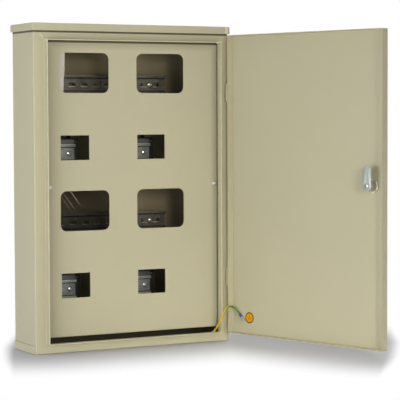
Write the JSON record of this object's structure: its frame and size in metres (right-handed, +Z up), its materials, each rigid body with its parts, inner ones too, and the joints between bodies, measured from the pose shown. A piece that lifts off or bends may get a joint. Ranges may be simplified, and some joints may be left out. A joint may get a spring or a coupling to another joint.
{
  "type": "electric meter box",
  "caption": "Wall-hung sheet-steel meter box with a rain cap, hinged pan door with cam lock, glazed inner panel, breaker cut-outs and slotted mounting rails.",
  "frame": {"origin": "middle of the four wall holes, on the outside of the back", "axes": "+X to the right seen from the front, +Y from the front to the wall, +Z up"},
  "size_m": [0.5251, 0.4652, 0.6012],
  "materials": {
    "cabinet_paint": "fine powder coat",
    "zinc_plate": "zinc plated",
    "bright_steel": "bright zinc",
    "clear_pane": "clear",
    "lock_core": "machined",
    "terminal_metal": "tinned",
    "sleeve_blue": "soft vinyl",
    "label_film": "printed film",
    "wire_cover": "soft vinyl"
  },
  "bodies": {
    "cabinet": {"body_wrap": "cabinet_paint", "top_end_plate": "cabinet_paint", "bottom_tray": "cabinet_paint", "rain_cap": "cabinet_paint", "inner_panel": "cabinet_paint", "panel_bracket_left": "cabinet_paint", "panel_bracket_right": "cabinet_paint", "hinge_case_leaf_lower": "cabinet_paint", "hinge_case_leaf_upper": "cabinet_paint", "breaker_rail_lower_left": "zinc_plate", "breaker_rail_lower_right": "zinc_plate", "breaker_rail_upper_left": "zinc_plate", "breaker_rail_upper_right": "zinc_plate", "breaker_bracket_lower_left": "zinc_plate", "breaker_bracket_lower_right": "zinc_plate", "breaker_bracket_upper_left": "zinc_plate", "breaker_bracket_upper_right": "zinc_plate", "meter_rail_lower": "zinc_plate", "meter_rail_upper": "zinc_plate", "meter_bracket_lower_left": "zinc_plate", "meter_bracket_lower_right": "zinc_plate", "meter_bracket_upper_left": "zinc_plate", "meter_bracket_upper_right": "zinc_plate", "panel_screws": "bright_steel", "rail_screws": "bright_steel", "case_earth_stud": "bright_steel", "case_earth_nut": "bright_steel", "hinge_pin_lower": "bright_steel", "hinge_pin_upper": "bright_steel", "window_pane_lower_left": "clear_pane", "window_pane_lower_right": "clear_pane", "window_pane_upper_left": "clear_pane", "window_pane_upper_right": "clear_pane", "case_ring_terminal": "terminal_metal", "case_terminal_sleeve": "sleeve_blue", "earth_wire": "wire_cover"},
    "door": {"door": "cabinet_paint", "lock_housing": "bright_steel", "lock_nut": "bright_steel", "door_earth_stud": "bright_steel", "door_earth_nut": "bright_steel", "door_ring_terminal": "terminal_metal", "door_terminal_sleeve": "sleeve_blue", "earth_label": "label_film", "hinge_door_leaf_lower": "cabinet_paint", "hinge_door_leaf_upper": "cabinet_paint"},
    "lock_core": {"lock_plug": "lock_core", "lock_cam": "bright_steel", "cam_screw": "bright_steel"}
  },
  "joints": [
    {"name": "door_hinge", "type": "hinge", "parent": "cabinet", "child": "door", "pos_m": [0.19605, -0.10305, 0], "axis": [0, 0, 1], "range_deg": [-107.2, 12.8], "deforming": ["earth_wire"]},
    {"name": "lock_turn", "type": "hinge", "parent": "door", "child": "lock_core", "pos_m": [0.31314, -0.43057, 0.007], "axis": [0.9553, 0.2957, 0], "range_deg": [0, 90]}
  ]
}
